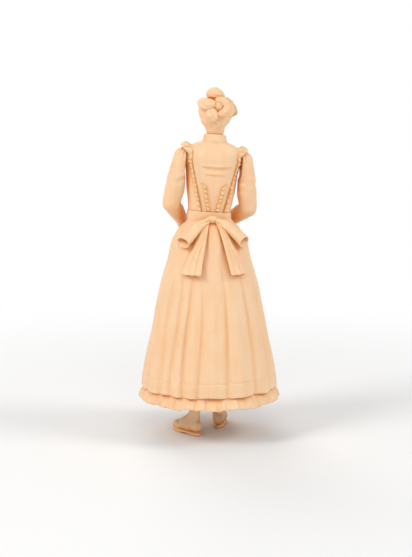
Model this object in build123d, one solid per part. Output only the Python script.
from build123d import *
import math
import os

# A standing figure of a maid in a long gathered skirt and a pinafore apron, in millimetres.
# +Z is up and the soles stand on the ground at zero. The origin lies under the middle of the hem.
# The figure faces -Y, and its own left side is on +X.

# Stance
waist_height = 65.0
torso_lean_degrees = 4.4
head_turn_degrees = 28.0

# Skirt and the hip block inside it
hem_height = 14.2
hem_radius = 19.3
skirt_neck_half_width = 5.6
skirt_neck_half_depth = 4.4
skirt_wall = 1.1
fold_depth = 0.5
hip_block_height = 12.0

# Ruffle under the hem
ruffle_drop = 3.6
ruffle_top_radius = 18.9
ruffle_flare = 1.1
ruffle_depth = 0.6
ruffle_wall = 0.9
ruffle_count = 28

# Apron
apron_cloth = 0.6
apron_hem_height = 24.0
apron_top_half_width = 5.0
apron_hem_half_width = 15.6
apron_corner_radius = 5.0
bib_waist_half_width = 4.0
bib_top_half_width = 5.7
bib_height = 11.5
bib_corner_radius = 0.6
strap_cloth = 0.6
strap_width = 1.8
strap_waist_place = 1.8
strap_shoulder_place = 5.9
frill_rise = 1.1
frill_width = 1.0
inner_frill_width = 0.8
frill_pitch = 1.9
wing_reach = 2.9
wing_wall = 0.55
wing_flute_rise = 0.25
wing_flutes = 5
wing_front_degrees = 8.0
wing_back_degrees = 64.0

# Waistband and bow
waistband_width = 3.0
waistband_half_width = 6.4
waistband_half_depth = 5.2
knot_width = 3.2
knot_height = 1.9
knot_depth = 1.5
loop_fall = 5.6
loop_width = 4.9
loop_thickness = 2.1
loop_cloth = 0.5
loop_turn_degrees = 43.0
tail_fall = 14.3
tail_spread = 5.3
tail_top_width = 1.2
tail_end_width = 5.0
tail_cloth = 0.6
tail_pleats = 3
tail_stand_off = 0.9

# Bodice and collar
torso_height = 20.0
shoulder_half_width = 8.7
chest_half_depth = 5.7
bust_forward = 0.8
collar_rise = 2.3
collar_sunk = 0.5
collar_wall = 0.6

# Shoulders
armhole_place = 8.0
shoulder_height = 15.0
shoulder_clearance = 0.3
armhole_gap = 0.2
shoulder_pin_radius = 1.15
shoulder_pin_seat = 3.4
shoulder_pin_length = 5.2
pin_clearance = 0.05
pin_end_clearance = 0.2

# Arms, as places from the figure's middle and the waist
sleeve_head_place = 8.75
sleeve_radius = 2.7
elbow_place = 11.2
elbow_height = 1.5
elbow_radius = 2.6
wrist_place = 5.9
wrist_forward = 10.8
wrist_fall = 4.4
wrist_radius = 1.8
cuff_radius = 2.1
cuff_length = 1.9
hand_length = 6.4
hand_half_width = 1.5
hand_half_thickness = 0.8
thumb_length = 2.6
thumb_radius = 0.55

# Neck and head
neck_radius = 2.45
neck_clearance = 0.08
neck_pin_radius = 1.3
neck_pin_seat = 5.0
neck_pin_length = 8.0
chin_height = 3.2
head_height = 8.5
head_half_width = 3.8
head_half_depth = 4.6
chin_forward = 2.4
nose_length = 0.8
nose_height = 1.8
nose_half_width = 0.55
hair_thickness = 1.0
hair_low_height = 3.0
topknot_radius = 2.7
topknot_half_height = 1.85
topknot_sunk = 1.2
topknot_back = 1.8
roll_radius = 1.6
roll_end_radius = 1.25
roll_length = 3.2
left_roll_turn_degrees = 13.0
left_roll_tilt_degrees = 8.0
right_roll_turn_degrees = -33.0
right_roll_tilt_degrees = 60.0
chignon_radius = 2.0
chignon_half_thickness = 1.5
chignon_turn_degrees = -4.0
cap_band_radius = 5.5
cap_band_inner_radius = 3.4
cap_band_width = 1.1
cap_band_forward = 2.5
cap_frill_depth = 0.45
cap_frill_count = 15

# Legs and shoes
leg_top_radius = 3.0
ankle_radius = 1.7
leg_spread = 4.2
shoe_length = 12.6
shoe_width = 4.3
shoe_height = 9.0
sole_thickness = 0.8
shoe_heel_length = 3.0
left_heel_out = 3.4
left_heel_back = 6.2
left_toe_out_degrees = 32.0
right_heel_out = 2.6
right_heel_back = -1.6
right_toe_out_degrees = 16.0

# One overrun serves every cut
overrun = 2.0

# Height share from the hem to the waist, spread share from the neck to the hem, fold share
skirt_profile_shares = (
    (0.000, 1.000, 1.00),
    (0.060, 0.985, 1.00),
    (0.200, 0.885, 0.95),
    (0.340, 0.775, 0.85),
    (0.480, 0.680, 0.70),
    (0.610, 0.580, 0.55),
    (0.740, 0.450, 0.40),
    (0.830, 0.365, 0.30),
    (0.905, 0.215, 0.20),
    (0.950, 0.060, 0.12),
    (1.000, 0.000, 0.06),
)

# Where the ridges of the folds stand, as shares of a turn from the figure's left side
ridge_turn_shares = (
    0.000, 0.064, 0.115, 0.187, 0.228, 0.270, 0.322, 0.378, 0.440, 0.500,
    0.560, 0.622, 0.685, 0.750, 0.812, 0.875, 0.940,
)
ridge_depth_shares = (
    1.0, 0.8, 1.0, 0.9, 0.5, 0.6, 1.0, 1.0, 0.8, 1.0,
    0.9, 1.0, 0.8, 1.0, 0.9, 1.0, 0.8,
)

# Rise share of the torso, width share, depth share and forward share of the bust
torso_profile_shares = (
    (0.000, 0.700, 0.830, 0.0),
    (0.250, 0.745, 0.890, 0.3),
    (0.450, 0.800, 0.975, 0.9),
    (0.600, 0.875, 1.000, 1.0),
    (0.750, 1.000, 0.890, 0.4),
    (0.850, 0.970, 0.740, 0.0),
    (0.930, 0.740, 0.640, 0.0),
    (1.000, 0.400, 0.560, 0.0),
)

# Rise share of the head, width share, depth share and forward share of the chin
head_profile_shares = (
    (0.00, 0.36, 0.38, 1.00),
    (0.14, 0.68, 0.70, 0.70),
    (0.38, 0.92, 0.94, 0.35),
    (0.60, 1.00, 1.00, 0.15),
    (0.82, 0.86, 0.86, 0.05),
    (1.00, 0.40, 0.44, 0.00),
)

# How much of its extra a cloth over the torso rises at the shoulders
torso_lift_share = 0.6

# Outward lift of a bow loop over the skirt, and the upward tilt of its face
loop_lift_share = 0.95
loop_tilt_share = 0.35

# Width share and thickness share of a bow loop at its root, its middle and its mouth
loop_profile_shares = ((0.34, 0.60), (0.80, 0.95), (1.00, 1.00))

# Levels of a bow tail as shares of its fall, how late it spreads, and how deep its pleats are
tail_level_shares = (0.00, 0.25, 0.60, 1.00)
tail_bend_share = 0.9
tail_pleat_depth_share = 0.35

# Length share of the hand from the wrist, width share and thickness share
hand_profile_shares = (
    (0.0, 0.65, 0.95),
    (0.4, 1.00, 1.00),
    (0.7, 0.95, 0.80),
    (1.0, 0.50, 0.45),
)

# Which way the left hand's fingers fall and its palm spreads, and how the thumb leans between them
hand_fall_shares = (-0.35, -0.35, -0.87)
hand_across_shares = (0.80, -0.60, 0.00)
thumb_lean_shares = (0.5, 0.4)
thumb_tip_share = 0.7

# The nose, from the third level of the head's profile
nose_level = 2
nose_drop_share = 1 / 3

# Hairline over the face: its middle, half width and half height as shares of the head
hairline_middle_share = 0.36
hairline_width_share = 0.80
hairline_height_share = 0.42
hairline_side_share = 0.10

# Height share and outward share of each roll and knot at the back of the head
left_roll_height_share = 0.83
right_roll_height_share = 0.77
roll_out_share = 0.86
chignon_height_share = 0.48
chignon_out_share = 0.92

# The cap's band: its middle on the head, and how much of a turn it sweeps
cap_middle_share = 0.50
cap_sweep_share = 0.60

# Rise share of the boot above its sole, length share, width share and set-in share of its length
boot_profile_shares = (
    (0.000, 1.00, 1.00, 0.00),
    (0.236, 0.80, 0.92, 0.02),
    (0.539, 0.42, 0.84, 0.03),
)
boot_top_share = 1.15
boot_set_in_share = 0.06
boot_arch_share = 0.52
boot_arch_rise_share = 0.5


def lean(shape):
    """Carries a shape from the torso's own frame, with its zero at the waist, to the figure."""
    return Location((0, 0, waist_height), (0, -torso_lean_degrees, 0)) * shape


def turn(shape):
    """Carries a shape from the head's own frame, with its zero at the neck's foot, to the figure."""
    return lean(Location((0, 0, torso_height), (0, 0, -head_turn_degrees)) * shape)


def spheroid(round_radius, half_axis, plane):
    """A flattened or drawn-out ball: round_radius across the plane's normal, half_axis along it."""
    return plane * scale(Sphere(1), by=(round_radius, round_radius, half_axis))


def rod(start, end, start_radius, end_radius):
    """A round tapered bar between two places."""
    run = end - start
    plane = Plane(start, z_dir=run)
    if start_radius == end_radius:
        return Solid.make_cylinder(start_radius, run.length, plane=plane)
    return Solid.make_cone(start_radius, end_radius, run.length, plane=plane)


def capsule(start, end, start_radius, end_radius):
    """A tapered bar with a half ball on each end, turned about its own middle line."""
    length = (end - start).length
    diagonal = math.sqrt(1 / 2)
    profile = [
        ThreePointArc((0, -start_radius), (start_radius * diagonal, -start_radius * diagonal),
                      (start_radius, 0)).edge(),
        Line((start_radius, 0), (end_radius, length)).edge(),
        ThreePointArc((end_radius, length), (end_radius * diagonal, length + end_radius * diagonal),
                      (0, length + end_radius)).edge(),
        Line((0, length + end_radius), (0, -start_radius)).edge(),
    ]
    body = revolve(Plane.XZ * make_face(profile), Axis.Z)
    return Plane(start, z_dir=end - start) * body


def ball(place, radius):
    return Pos(place.X, place.Y, place.Z) * Sphere(radius)


def slab(x_from, x_to, y_from, y_to, z_from, z_to):
    size = (x_to - x_from, y_to - y_from, z_to - z_from)
    middle = ((x_from + x_to) / 2, (y_from + y_to) / 2, (z_from + z_to) / 2)
    return Pos(*middle) * Box(*size)


# Skirt forms

def turn_point(turn_share, half_width, half_depth, height):
    angle = math.tau * turn_share
    return Vector(half_width * math.cos(angle), half_depth * math.sin(angle), height)


def folded_face(half_width, half_depth, depth, height, ridge_shares, depth_shares):
    """A closed outline of arcs that runs over each ridge and through each valley of the folds."""
    arcs = []
    count = len(ridge_shares)
    for i in range(count):
        here = ridge_shares[i]
        last = ridge_shares[i - 1] - (1 if i == 0 else 0)
        after = ridge_shares[(i + 1) % count] + (1 if i == count - 1 else 0)
        start = here - (here - last) / 4
        end = here + (after - here) / 4
        valley = (here + after) / 2
        valley_end = after - (after - here) / 4
        out = depth * depth_shares[i]
        dip = depth * min(depth_shares[i], depth_shares[(i + 1) % count])
        places = (
            turn_point(start, half_width, half_depth, height),
            turn_point(here, half_width + out, half_depth + out, height),
            turn_point(end, half_width, half_depth, height),
            turn_point(valley, half_width - dip, half_depth - dip, height),
            turn_point(valley_end, half_width, half_depth, height),
        )
        arcs.append(ThreePointArc(*places[:3]).edge())
        arcs.append(ThreePointArc(*places[2:]).edge())
    return Face(Wire(arcs))


def skirt_sizes(share, spread, inward):
    """Height, half width and half depth of the skirt at one level of its profile."""
    height = hem_height + (waist_height - hem_height) * share
    half_width = skirt_neck_half_width + (hem_radius - skirt_neck_half_width) * spread - inward
    half_depth = skirt_neck_half_depth + (hem_radius - skirt_neck_half_depth) * spread - inward
    return height, half_width, half_depth


def skirt_form(extra):
    """The skirt's folded outside, standing extra proud of the cloth."""
    faces = []
    for share, spread, fold in skirt_profile_shares:
        height, half_width, half_depth = skirt_sizes(share, spread, -extra)
        depth = fold_depth * fold
        faces.append(folded_face(half_width, half_depth, depth, height,
                                 ridge_turn_shares, ridge_depth_shares))
    return loft(faces, ruled=True)


def skirt_inside():
    """The smooth room under the skirt, which the hip block fills at the top."""
    faces = []
    for share, spread, fold in skirt_profile_shares:
        inward = skirt_wall + fold_depth * fold
        height, half_width, half_depth = skirt_sizes(share, spread, inward)
        faces.append(Pos(0, 0, height) * Ellipse(half_width, half_depth))
    return loft(faces, ruled=True)


def above_waist():
    reach = hem_radius + overrun
    return lean(slab(-reach, reach, -reach, reach, 0, waist_height))


def make_hip_block(inside):
    reach = hem_radius + overrun
    bottom = waist_height - hip_block_height
    block = inside & slab(-reach, reach, -reach, reach, bottom, waist_height + overrun)
    return block - above_waist()


def make_skirt(outside, inside):
    return outside - inside - above_waist()


def make_hem_ruffle():
    """A gathered ring that hangs from the skirt's hem and flares outwards in ripples."""
    ridges = [i / ruffle_count for i in range(ruffle_count)]
    even = [1.0] * ruffle_count
    bottom = hem_height - ruffle_drop
    bottom_radius = ruffle_top_radius + ruffle_flare
    walls = []
    for inward in (0, ruffle_wall):
        top_radius = ruffle_top_radius - inward
        low_radius = bottom_radius - inward
        top = folded_face(top_radius, top_radius, ruffle_depth / 3, hem_height, ridges, even)
        low = folded_face(low_radius, low_radius, ruffle_depth, bottom, ridges, even)
        walls.append(loft([low, top], ruled=True))
    return walls[0] - walls[1]


# Apron

def make_apron_skirt(outside):
    """The front panel that lies over the skirt, with rounded lower corners."""
    low = apron_hem_height
    top = waist_height - waistband_width
    outline = Polyline(
        (-apron_top_half_width, top),
        (-apron_hem_half_width, low),
        (apron_hem_half_width, low),
        (apron_top_half_width, top),
        close=True,
    )
    panel = make_face(outline.edges())
    corners = panel.vertices().sort_by(Axis.Y)[:2]
    panel = fillet(corners, apron_corner_radius)
    reach = hem_radius + overrun
    prism = extrude(Plane.XZ * panel, reach)
    return (skirt_form(apron_cloth) & prism) - outside


def torso_form(extra):
    """The bodice as a smooth body through oval levels, standing extra proud of the cloth."""
    faces = []
    for rise, width, depth, forward in torso_profile_shares:
        lift = extra * torso_lift_share * rise
        place = (0, -bust_forward * forward, torso_height * rise + lift)
        oval = Ellipse(shoulder_half_width * width + extra, chest_half_depth * depth + extra)
        faces.append(Pos(*place) * oval)
    return loft(faces)


def arm_room(side):
    """The round space beside the torso in which the sleeve's head turns."""
    reach = sleeve_radius + shoulder_clearance
    plane = Plane((side * armhole_place, 0, shoulder_height), z_dir=(side, 0, 0))
    return Solid.make_cylinder(reach, sleeve_head_place, plane=plane)


def swing_room(side):
    """The space in front of the armhole that the sleeve passes when the arm is raised."""
    inner = side * armhole_place
    outer = side * (armhole_place + sleeve_head_place)
    high = shoulder_height + elbow_radius + shoulder_clearance
    return slab(min(inner, outer), max(inner, outer), -2 * chest_half_depth, 0, 0, high)


def flank(side):
    """The torso's side under the arm, which the frills leave bare."""
    reach = side * 2 * shoulder_half_width
    return slab(min(0, reach), max(0, reach), -frill_rise, frill_rise, 0, shoulder_height)


def shoulder_bore(side):
    start = armhole_place - shoulder_pin_seat - pin_end_clearance
    plane = Plane((side * start, 0, shoulder_height), z_dir=(side, 0, 0))
    return Solid.make_cylinder(shoulder_pin_radius + pin_clearance, armhole_place, plane=plane)


def neck_bore(radius, foot, top):
    return Solid.make_cylinder(radius, top - foot, plane=Plane((0, 0, foot)))


def make_bodice(body):
    bodice = body
    for side in (1, -1):
        bodice = bodice - arm_room(side) - shoulder_bore(side)
    pin_foot = torso_height - neck_pin_seat - pin_end_clearance
    bodice -= neck_bore(neck_pin_radius + pin_clearance, pin_foot, torso_height + overrun)
    return bodice


def make_collar(body):
    """A low standing band round the neck, seated on the top of the bodice."""
    inner = neck_radius + neck_clearance
    outer = inner + collar_wall
    foot = torso_height - collar_sunk
    top = torso_height + collar_rise
    ring = neck_bore(outer, foot, top) - neck_bore(inner, foot - overrun, top + overrun)
    return ring - body


def strap_line(side, height):
    """Middle of a strap at a height above the waist: it leans out from the waist to the shoulder."""
    share = min(height / shoulder_height, 1)
    return side * (strap_waist_place + (strap_shoulder_place - strap_waist_place) * share)


def strap_prism(side, inner, outer, low, high, back):
    """A straight-sided panel along the strap, from its inner to its outer offset."""
    bend = shoulder_height
    places = [(strap_line(side, low) + side * inner, low)]
    places += [(strap_line(side, bend) + side * inner, bend)] if high > bend else []
    places += [(strap_line(side, high) + side * inner, high)]
    places += [(strap_line(side, high) + side * outer, high)]
    places += [(strap_line(side, bend) + side * outer, bend)] if high > bend else []
    places += [(strap_line(side, low) + side * outer, low)]
    panel = make_face(Polyline(*places, close=True).edges())
    return extrude(Plane.XZ * panel, -2 * chest_half_depth if back else 2 * chest_half_depth)


def make_strap(side, body, proud):
    half = strap_width / 2
    high = torso_height + overrun
    back = strap_prism(side, -half, half, 0, high, True)
    front = strap_prism(side, -half, half, bib_height, high, False)
    return (proud & (back + front)) - body - arm_room(side)


def scallop_prism(side, inner, width, low, high, back):
    """A gathered edge: from the strap's edge out to a row of round scallops."""
    count = max(round((high - low) / frill_pitch), 2)
    step = (high - low) / count
    reach = math.copysign(abs(inner) + width, inner)
    edges = []
    for i in range(count):
        foot = low + i * step
        start = (strap_line(side, foot) + side * reach, foot)
        end = (strap_line(side, foot + step) + side * reach, foot + step)
        bulge = reach + math.copysign(step / 4, inner)
        middle = (strap_line(side, foot + step / 2) + side * bulge, foot + step / 2)
        edges.append(ThreePointArc(start, middle, end).edge())
    corner_high = (strap_line(side, high) + side * inner, high)
    corner_low = (strap_line(side, low) + side * inner, low)
    edges.append(Line(edges[-1] @ 1, corner_high).edge())
    edges.append(Line(corner_high, corner_low).edge())
    edges.append(Line(corner_low, edges[0] @ 0).edge())
    panel = make_face(edges)
    return extrude(Plane.XZ * panel, -2 * chest_half_depth if back else 2 * chest_half_depth)


def make_wing(side):
    """The frill over the shoulder: flutes turned about the shoulder's axis, clear of the sleeve."""
    near = sleeve_radius + shoulder_clearance
    step = (wing_front_degrees + wing_back_degrees) / wing_flutes
    inner_place = side * (strap_shoulder_place + strap_width / 2)
    outer_place = side * (armhole_place + wing_reach)
    flutes = []
    for i in range(wing_flutes):
        far = near + wing_wall + (wing_flute_rise if i % 2 == 0 else 0)
        panel = make_face(Polyline(
            (inner_place, near),
            (outer_place, near),
            (outer_place, far),
            (inner_place, far),
            close=True,
        ).edges())
        sector = revolve(Plane.XZ * panel, Axis.X, revolution_arc=step)
        start = wing_front_degrees - step * (i + 1)
        flutes.append(Rotation(start, 0, 0) * sector)
    wing = flutes[0].fuse(*flutes[1:])
    return Pos(0, 0, shoulder_height) * wing


def make_frill(side, body, strap):
    half = strap_width / 2
    cloth = torso_form(frill_rise)
    high = shoulder_height + sleeve_radius + shoulder_clearance + wing_wall / 2
    back = cloth & scallop_prism(side, half, frill_width, frill_pitch / 2, high, True)
    front = cloth & scallop_prism(side, half, frill_width, bib_height, high, False)
    frill = back + front + make_wing(side)
    return frill - body - strap - arm_room(side) - swing_room(side) - flank(side)


def make_inner_frill(side, body, strap):
    half = strap_width / 2
    strip = scallop_prism(side, -half, inner_frill_width, frill_pitch / 2,
                          shoulder_height / 2, True)
    return (torso_form(frill_rise) & strip) - body - strap


def make_bib(body, straps):
    """The bib over the chest, between the straps."""
    panel = make_face(Polyline(
        (-bib_waist_half_width, 0),
        (bib_waist_half_width, 0),
        (bib_top_half_width, bib_height),
        (-bib_top_half_width, bib_height),
        close=True,
    ).edges())
    panel = fillet(panel.vertices().sort_by(Axis.Y)[-2:], bib_corner_radius)
    prism = extrude(Plane.XZ * panel, 2 * chest_half_depth)
    bib = (torso_form(apron_cloth) & prism) - body
    return bib - straps[0] - straps[1]


# Waistband and bow

def make_waistband(skirt_outside):
    oval = Ellipse(waistband_half_width, waistband_half_depth)
    band = Pos(0, 0, -waistband_width) * extrude(oval, waistband_width)
    return lean(band) - skirt_outside


def knot_middle():
    """Middle of the bow's knot, behind the waistband."""
    height = waist_height - waistband_width + knot_height / 2
    return Vector(0, waistband_half_depth + knot_depth / 2, height)


def make_knot(waistband, skirt_outside):
    middle = knot_middle()
    block = Box(knot_width, knot_depth + skirt_wall, knot_height)
    block = fillet(block.edges().filter_by(Axis.Y), knot_height / 4)
    place = (middle.X, middle.Y - skirt_wall / 2, middle.Z)
    return Pos(*place) * block - waistband - skirt_outside


def loop_tube(root, half_way, end, tilt, inward):
    """A flattened tube through three oval sections; the inner one runs on past the open mouth."""
    along = (end - root).normalized()
    past = along * inward
    sections = []
    places = (root + past, half_way, end + past)
    normals = (Vector(0, 1, 0), tilt, tilt)
    for place, normal, (width_share, thick_share) in zip(places, normals, loop_profile_shares):
        plane = Plane(place, x_dir=normal, z_dir=along)
        half_thick = loop_thickness * thick_share / 2 - inward
        half_width = loop_width * width_share / 2 - inward
        sections.append(plane * Ellipse(half_thick, half_width))
    return loft(sections)


def loop_form(side, inward):
    """A bow loop's tube, falling outwards from the knot over the skirt."""
    middle = knot_middle()
    root = Vector(side * knot_width / 4, middle.Y, middle.Z)
    height = middle.Z - loop_fall
    turn_angle = math.radians(loop_turn_degrees)
    out = Vector(side * math.sin(turn_angle), math.cos(turn_angle), 0)
    reach = skirt_reach(height) + loop_thickness * loop_lift_share
    end = Vector(out.X * reach, out.Y * reach, height)
    lift = out * (loop_thickness / 2) + Vector(0, 0, loop_fall / 8)
    half_way = (root + end) / 2 + lift
    tilt = out + Vector(0, 0, loop_tilt_share)
    return loop_tube(root, half_way, end, tilt, inward)


def make_loop(side, knot):
    return loop_form(side, 0) - loop_form(side, loop_cloth) - knot


def pleated_face(middle_x, middle_y, width, height):
    """A strip of pleated cloth cut level: arcs to and fro on both of its faces."""
    count = 2 * tail_pleats
    step = width / count
    depth = step * tail_pleat_depth_share
    edges = []
    for i in range(count):
        start = middle_x - width / 2 + i * step
        swing = depth if i % 2 == 0 else -depth
        edges.append(ThreePointArc(
            (start, middle_y, height),
            (start + step / 2, middle_y + swing, height),
            (start + step, middle_y, height),
        ).edge())
    far = middle_y + tail_cloth
    edges.append(Line((middle_x + width / 2, middle_y, height),
                      (middle_x + width / 2, far, height)).edge())
    for i in reversed(range(count)):
        start = middle_x - width / 2 + i * step
        swing = depth if i % 2 == 0 else -depth
        edges.append(ThreePointArc(
            (start + step, far, height),
            (start + step / 2, far + swing, height),
            (start, far, height),
        ).edge())
    edges.append(Line((middle_x - width / 2, far, height),
                      (middle_x - width / 2, middle_y, height)).edge())
    return Face(Wire(edges))


def skirt_reach(height):
    """Outer radius of the skirt's folds at a height, read off its profile."""
    share = (height - hem_height) / (waist_height - hem_height)
    for low, high in zip(skirt_profile_shares, skirt_profile_shares[1:]):
        if low[0] <= share <= high[0]:
            part = (share - low[0]) / (high[0] - low[0])
            spread = low[1] + (high[1] - low[1]) * part
            return skirt_sizes(share, spread, -fold_depth)[1]
    return hem_radius


def make_tail(side, knot, waistband, skirt_outside):
    """A pleated ribbon end that hangs out from under its loop and stands off the skirt."""
    middle = knot_middle()
    top = middle.Z - knot_height / 4
    faces = []
    for share in tail_level_shares:
        height = top - tail_fall * share
        width = tail_top_width + (tail_end_width - tail_top_width) * share
        place_x = side * (knot_width / 2 + tail_spread * share ** tail_bend_share)
        reach = max(skirt_reach(height), middle.Y - tail_cloth)
        place_y = math.sqrt(reach ** 2 - place_x ** 2 / 2) + tail_stand_off * share
        faces.append(pleated_face(place_x, place_y, width, height))
    return loft(faces, ruled=True) - knot - loop_form(side, 0) - waistband - skirt_outside


# Arms, in the torso's own frame

def shoulder_point(side):
    return Vector(side * sleeve_head_place, 0, shoulder_height)


def elbow_point(side):
    return Vector(side * elbow_place, 0, elbow_height)


def wrist_point(side):
    return Vector(side * wrist_place, -wrist_forward, -wrist_fall)


def on_side(side, direction_shares):
    """A direction of the left side, mirrored for the right one."""
    out, back, up = direction_shares
    return Vector(side * out, back, up)


def forearm_run(side):
    return (wrist_point(side) - elbow_point(side)).normalized()


def make_sleeve(side):
    """A plain sleeve: a round head at the shoulder, a full upper arm, and a tapered forearm."""
    shoulder = shoulder_point(side)
    elbow = elbow_point(side)
    wrist = wrist_point(side)
    upper = rod(shoulder, elbow, elbow_radius, elbow_radius)
    fore = rod(elbow, wrist, elbow_radius, wrist_radius)
    sleeve = ball(shoulder, sleeve_radius) + upper + ball(elbow, elbow_radius) + fore
    inner = side * (armhole_place + armhole_gap)
    beyond = side * -overrun
    reach = 2 * sleeve_radius
    near = slab(min(inner, beyond), max(inner, beyond), -reach, reach,
                elbow_height + elbow_radius, shoulder_height + reach)
    return sleeve - near


def pin_span(side):
    start = armhole_place - shoulder_pin_seat
    return start, start + shoulder_pin_length


def make_shoulder_pin(side):
    start, end = pin_span(side)
    plane = Plane((side * start, 0, shoulder_height), z_dir=(side, 0, 0))
    return Solid.make_cylinder(shoulder_pin_radius, end - start, plane=plane)


def make_cuff(side, sleeve):
    wrist = wrist_point(side)
    run = forearm_run(side)
    start = wrist - run * (cuff_length / 4)
    end = start + run * cuff_length
    return rod(start, end, cuff_radius, cuff_radius) - sleeve


def make_hand(side, cuff, sleeve):
    """A quiet hand with its fingers together and the thumb a little apart."""
    wrist = wrist_point(side)
    run = forearm_run(side)
    start = wrist + run * (cuff_length / 4)
    fall = on_side(side, hand_fall_shares)
    across = on_side(side, hand_across_shares)
    sections = []
    for share, width_share, thick_share in hand_profile_shares:
        heading = run * (1 - share) + fall * share
        place = start + heading.normalized() * (hand_length * share)
        plane = Plane((place.X, place.Y, place.Z), x_dir=across, z_dir=heading)
        oval = Ellipse(hand_half_width * width_share, hand_half_thickness * thick_share)
        sections.append(plane * oval)
    palm = loft(sections)
    root = start + run * (hand_length / 4)
    aside, ahead = thumb_lean_shares
    tip = root + (fall - across * aside + run * ahead).normalized() * thumb_length
    tip_radius = thumb_radius * thumb_tip_share
    thumb = rod(root, tip, thumb_radius, tip_radius) + ball(tip, tip_radius)
    return palm + thumb - cuff - sleeve


# Head, in its own frame

def head_form(extra, low_share=0):
    faces = []
    for rise, width, depth, forward in head_profile_shares:
        if rise >= low_share:
            height = chin_height + head_height * rise + extra * (rise * 2 - 1)
            place = (0, -chin_forward * forward, height)
            oval = Ellipse(head_half_width * width + extra, head_half_depth * depth + extra)
            faces.append(Pos(*place) * oval)
    return loft(faces)


def make_head():
    """The face and skull, on a round neck that turns in the collar."""
    skull = head_form(0)
    neck_top = chin_height + head_height / 2
    neck = Solid.make_cylinder(neck_radius, neck_top, plane=Plane.XY)
    rise, width, depth, forward = head_profile_shares[nose_level]
    nose_foot = chin_height + head_height * rise
    front = -(head_half_depth * depth + chin_forward * forward)
    bridge = Vector(0, front + nose_length, nose_foot + nose_height)
    tip = Vector(0, front - nose_length * nose_drop_share, nose_foot)
    nose = rod(bridge, tip, nose_half_width / 2, nose_half_width) + ball(tip, nose_half_width)
    head = skull + neck + nose
    return head - neck_bore(neck_pin_radius, -overrun, neck_pin_length - neck_pin_seat)


def make_neck_pin():
    foot = -neck_pin_seat
    return neck_bore(neck_pin_radius, foot, foot + neck_pin_length)


def make_hair_cap(head):
    """Hair drawn up over the skull, open at the front for the face."""
    hair = head_form(hair_thickness)
    middle = chin_height + head_height * hairline_middle_share
    opening = Ellipse(head_half_width * hairline_width_share, head_height * hairline_height_share)
    face_room = extrude(Plane((0, 0, middle), x_dir=(1, 0, 0), z_dir=(0, -1, 0)) * opening,
                        3 * head_half_depth)
    reach = 3 * head_half_depth
    side_line = -head_half_depth * hairline_side_share
    low_front = slab(-reach, reach, -reach, side_line, -reach, middle)
    under = slab(-reach, reach, -reach, reach, -reach, hair_low_height)
    return hair - face_room - low_front - under - head


def hair_place(turn_degrees, height_share, reach_share):
    """A place on the hair, by its turn from the back of the head and its height."""
    angle = math.radians(90 - turn_degrees)
    reach = reach_share * (head_half_depth + hair_thickness)
    height = chin_height + head_height * height_share
    return Vector(reach * math.cos(angle), reach * math.sin(angle), height)


def make_roll(turn_degrees, height_share, tilt_degrees, under):
    """A roll of hair laid on the back of the head, round at both ends."""
    middle = hair_place(turn_degrees, height_share, roll_out_share)
    sideways = Vector(middle.X, middle.Y, 0).cross(Vector(0, 0, 1)).normalized()
    tilt = math.radians(tilt_degrees)
    along = sideways * math.cos(tilt) + Vector(0, 0, math.sin(tilt))
    start = middle - along * (roll_length / 2)
    end = middle + along * (roll_length / 2)
    roll = capsule(start, end, roll_radius, roll_end_radius)
    for piece in under:
        roll -= piece
    return roll


def make_chignon(under):
    place = hair_place(chignon_turn_degrees, chignon_height_share, chignon_out_share)
    knot = spheroid(chignon_radius, chignon_half_thickness,
                    Plane((place.X, place.Y, place.Z), z_dir=(0, 1, 0)))
    for piece in under:
        knot -= piece
    return knot


def make_topknot(under):
    top = chin_height + head_height + hair_thickness
    place = (0, topknot_back, top + topknot_half_height - topknot_sunk)
    knot = spheroid(topknot_radius, topknot_half_height, Plane(place))
    for piece in under:
        knot -= piece
    return knot


def make_cap_frill(under):
    """The cap's gathered band, which stands up across the head in front of the crown."""
    centre = (0, -cap_band_forward, chin_height + head_height * cap_middle_share)
    edges = []
    first = (1 / 2 - cap_sweep_share) / 2
    for i in range(cap_frill_count):
        ends = []
        for share in (i, i + 1 / 2, i + 1):
            angle = math.tau * (first + cap_sweep_share * share / cap_frill_count)
            reach = cap_band_radius + (cap_frill_depth if share == i + 1 / 2 else 0)
            ends.append((reach * math.cos(angle), reach * math.sin(angle)))
        edges.append(ThreePointArc(*ends).edge())
    inner = []
    for share in (0, 1 / 2, 1):
        angle = math.tau * (first + cap_sweep_share * share)
        reach = cap_band_inner_radius
        inner.append((reach * math.cos(angle), reach * math.sin(angle)))
    edges.append(Line(edges[-1] @ 1, inner[2]).edge())
    edges.append(ThreePointArc(*reversed(inner)).edge())
    edges.append(Line(inner[0], edges[0] @ 0).edge())
    panel = make_face(edges)
    plane = Plane(centre, x_dir=(1, 0, 0), z_dir=(0, -1, 0))
    band = extrude(plane * panel, cap_band_width / 2, both=True)
    for piece in under:
        band -= piece
    return band


# Legs and shoes

def shoe_frame(side, heel_out, heel_back, toe_out_degrees):
    """Stands a shoe whose heel is at zero and whose toe points to -Y."""
    return Location((side * heel_out, heel_back, 0), (0, 0, side * toe_out_degrees))


def shoe_level(height, length, width, from_heel):
    place = (0, -(from_heel + length / 2), height)
    return Pos(*place) * Ellipse(width / 2, length / 2)


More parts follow.
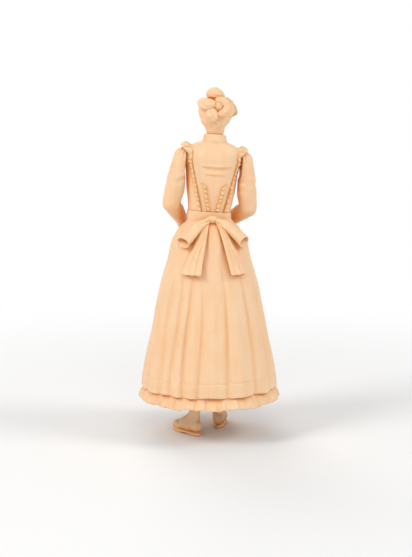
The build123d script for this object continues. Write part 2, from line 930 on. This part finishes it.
def make_shoe(place):
    """A laced boot with a block heel and a thin sole, from the ground to the ankle."""
    levels = []
    for rise, length_share, width_share, set_in_share in boot_profile_shares:
        height = sole_thickness + (shoe_height - sole_thickness) * rise
        levels.append(shoe_level(height, shoe_length * length_share, shoe_width * width_share,
                                 shoe_length * set_in_share))
    top_width = 2 * ankle_radius * boot_top_share
    levels.append(shoe_level(shoe_height, top_width, top_width, shoe_length * boot_set_in_share))
    upper = loft(levels)
    sole = extrude(Ellipse(shoe_width / 2, shoe_length / 2), sole_thickness)
    sole = Pos(0, -shoe_length / 2, 0) * sole
    reach = shoe_length + overrun
    arch_from = -shoe_length * boot_arch_share
    arch = slab(-reach, reach, arch_from, -shoe_heel_length,
                -reach, sole_thickness * boot_arch_rise_share)
    return place * (upper + sole - arch)


def ankle_place(place):
    """Middle of the boot's shaft, at its top."""
    back = shoe_length * boot_set_in_share + ankle_radius * boot_top_share
    return (place * Location((0, -back, shoe_height))).position


def make_leg(side, place):
    ankle = ankle_place(place)
    hip = Vector(side * leg_spread, 0, waist_height - hip_block_height)
    level = Plane((ankle.X, ankle.Y, ankle.Z)) * Circle(ankle_radius)
    top = Plane((hip.X, hip.Y, hip.Z)) * Circle(leg_top_radius)
    return loft([level, top], ruled=True)


def build_pieces():
    """Every piece of the figure by its name."""
    pieces = {}
    outside = skirt_form(0)
    inside = skirt_inside()
    pieces["hip_block"] = make_hip_block(inside)
    pieces["skirt"] = make_skirt(outside, inside)
    pieces["hem_ruffle"] = make_hem_ruffle()
    pieces["apron_skirt"] = make_apron_skirt(outside)
    waistband = make_waistband(outside)
    pieces["waistband"] = waistband
    knot = make_knot(waistband, outside)
    pieces["bow_knot"] = knot

    body = torso_form(0)
    strap_shell = torso_form(strap_cloth)
    pieces["bodice"] = lean(make_bodice(body))
    pieces["collar"] = lean(make_collar(body))
    straps = [make_strap(side, body, strap_shell) for side in (1, -1)]
    pieces["apron_bib"] = lean(make_bib(body, straps))

    head = make_head()
    hair = make_hair_cap(head)
    under = [head, hair]
    head_pieces = {"head": head, "neck_pin": make_neck_pin(), "hair_cap": hair}
    chignon = make_chignon(under)
    left_roll = make_roll(left_roll_turn_degrees, left_roll_height_share,
                          left_roll_tilt_degrees, under + [chignon])
    right_roll = make_roll(right_roll_turn_degrees, right_roll_height_share,
                           right_roll_tilt_degrees, under + [chignon, left_roll])
    topknot = make_topknot(under + [left_roll, right_roll])
    head_pieces["chignon"] = chignon
    head_pieces["hair_roll_left"] = left_roll
    head_pieces["hair_roll_right"] = right_roll
    head_pieces["topknot"] = topknot
    head_pieces["cap_frill"] = make_cap_frill(under + [left_roll, right_roll, topknot])
    for name, piece in head_pieces.items():
        pieces[name] = turn(piece)

    stances = (
        ("left", 1, (left_heel_out, left_heel_back, left_toe_out_degrees)),
        ("right", -1, (right_heel_out, right_heel_back, right_toe_out_degrees)),
    )
    for name, side, stance in stances:
        strap = straps[0] if side == 1 else straps[1]
        pieces[f"{name}_apron_strap"] = lean(strap)
        pieces[f"{name}_strap_frill"] = lean(make_frill(side, body, strap))
        pieces[f"{name}_back_frill"] = lean(make_inner_frill(side, body, strap))
        pieces[f"{name}_bow_loop"] = make_loop(side, knot)
        pieces[f"{name}_bow_tail"] = make_tail(side, knot, waistband, outside)
        pin = make_shoulder_pin(side)
        sleeve = make_sleeve(side) - pin
        cuff = make_cuff(side, sleeve)
        pieces[f"{name}_shoulder_pin"] = lean(pin)
        pieces[f"{name}_sleeve"] = lean(sleeve)
        pieces[f"{name}_cuff"] = lean(cuff)
        pieces[f"{name}_hand"] = lean(make_hand(side, cuff, sleeve))
        place = shoe_frame(side, *stance)
        pieces[f"{name}_shoe"] = make_shoe(place)
        pieces[f"{name}_leg"] = make_leg(side, place)
    return pieces


def main():
    os.makedirs("parts", exist_ok=True)
    for name, piece in build_pieces().items():
        export_step(piece, f"parts/{name}.step")


if __name__ == "__main__":
    main()
